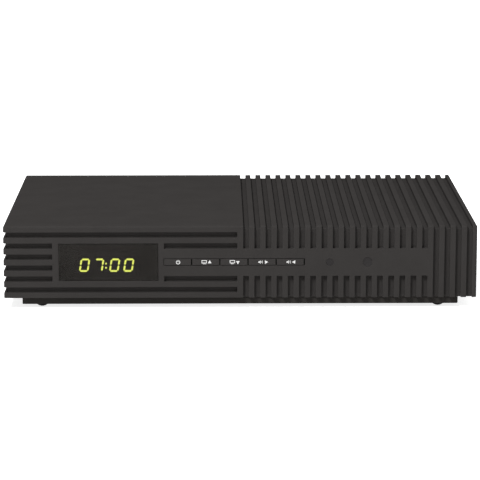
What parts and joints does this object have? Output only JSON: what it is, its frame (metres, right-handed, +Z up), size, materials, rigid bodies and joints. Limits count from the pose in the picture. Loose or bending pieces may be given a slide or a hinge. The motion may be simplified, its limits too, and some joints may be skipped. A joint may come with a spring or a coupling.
{
  "type": "satellite tv receiver",
  "caption": "Low black satellite receiver with ribbed housing, smoked clock display, a row of push keys, rubber feet, rear sockets and a mains rocker switch.",
  "frame": {"origin": "middle of the part's box, on the surface that the feet stand on", "axes": "+X to the right of the front, +Y from the front to the rear sockets, +Z up"},
  "size_m": [0.26, 0.1694, 0.0467],
  "materials": {
    "housing_black": "fine moulded grain",
    "tray_black": "satin moulding",
    "panel_black": "powder coat",
    "foot_rubber": "matte",
    "screw_steel": "zinc plate",
    "smoked_window": "smoked, polished",
    "display_black": "satin",
    "display_light": "lit",
    "key_black": "satin",
    "plunger_white": "plain",
    "switch_black": "satin",
    "lens_dark": "polished",
    "led_red": "diffuse",
    "sensor_black": "satin",
    "board_green": "solder mask",
    "board_tan": "laminate",
    "header_white": "plain",
    "ribbon_grey": "ribbed",
    "chip_black": "matte",
    "heatsink_aluminium": "anodised",
    "capacitor_sleeve": "shrunk sleeve",
    "ferrite": "matte",
    "coil_tape": "tape",
    "fuse_glass": "clear",
    "tinned_steel": "tin plate",
    "nickel": "nickel plate",
    "insulator_white": "plain",
    "insert_blue": "satin",
    "socket_yellow": "satin",
    "socket_white": "satin",
    "socket_red": "satin",
    "socket_orange": "satin",
    "inlet_black": "satin",
    "rocker_black": "satin"
  },
  "bodies": {
    "receiver": {"top_housing": "housing_black", "base_tray": "tray_black", "rear_panel": "panel_black", "rubber_feet": "foot_rubber", "case_screws": "screw_steel", "board_screws": "screw_steel", "display_window": "smoked_window", "display_module": "display_black", "display_segments": "display_light", "tact_switches": "switch_black", "standby_lens": "lens_dark", "infrared_lens": "lens_dark", "standby_led": "led_red", "infrared_receiver": "sensor_black", "front_board": "board_green", "main_board": "board_green", "power_board": "board_tan", "link_headers": "header_white", "front_link_cable": "ribbon_grey", "power_link_cable": "ribbon_grey", "decoder_chip": "chip_black", "decoder_heatsink": "heatsink_aluminium", "memory_chips": "chip_black", "bulk_capacitor": "capacitor_sleeve", "filter_capacitors": "capacitor_sleeve", "transformer_core": "ferrite", "transformer_coil": "coil_tape", "mains_choke": "ferrite", "switching_heatsink": "heatsink_aluminium", "mains_fuse": "fuse_glass", "fuse_clips": "screw_steel", "tuner_module": "tinned_steel", "lnb_input_socket": "nickel", "loop_output_socket": "nickel", "coax_insulators": "insulator_white", "coax_nuts": "nickel", "serial_socket_shell": "nickel", "serial_socket_insert": "insert_blue", "serial_lock_posts": "nickel", "video_socket": "socket_yellow", "audio_left_socket": "socket_white", "audio_right_socket": "socket_red", "digital_audio_socket": "socket_orange", "phono_sleeves": "nickel", "mains_inlet": "inlet_black", "mains_inlet_pins": "nickel", "switch_housing": "switch_black"},
    "power_button": {"power_key": "key_black", "power_plunger": "plunger_white"},
    "channel_up_button": {"channel_up_key": "key_black", "channel_up_plunger": "plunger_white"},
    "channel_down_button": {"channel_down_key": "key_black", "channel_down_plunger": "plunger_white"},
    "volume_up_button": {"volume_up_key": "key_black", "volume_up_plunger": "plunger_white"},
    "volume_down_button": {"volume_down_key": "key_black", "volume_down_plunger": "plunger_white"},
    "rocker": {"switch_rocker": "rocker_black"}
  },
  "joints": [
    {"name": "power_press", "type": "slide", "parent": "receiver", "child": "power_button", "axis": [0, 1, 0], "range_m": [0, 0.00035], "stiffness_N_per_m": 1500},
    {"name": "channel_up_press", "type": "slide", "parent": "receiver", "child": "channel_up_button", "axis": [0, 1, 0], "range_m": [0, 0.00035], "stiffness_N_per_m": 1500},
    {"name": "channel_down_press", "type": "slide", "parent": "receiver", "child": "channel_down_button", "axis": [0, 1, 0], "range_m": [0, 0.00035], "stiffness_N_per_m": 1500},
    {"name": "volume_up_press", "type": "slide", "parent": "receiver", "child": "volume_up_button", "axis": [0, 1, 0], "range_m": [0, 0.00035], "stiffness_N_per_m": 1500},
    {"name": "volume_down_press", "type": "slide", "parent": "receiver", "child": "volume_down_button", "axis": [0, 1, 0], "range_m": [0, 0.00035], "stiffness_N_per_m": 1500},
    {"name": "mains_rocker", "type": "hinge", "parent": "receiver", "child": "rocker", "pos_m": [-0.062, 0.07415, 0.0255], "axis": [1, 0, 0], "range_deg": [-24, 0]}
  ]
}
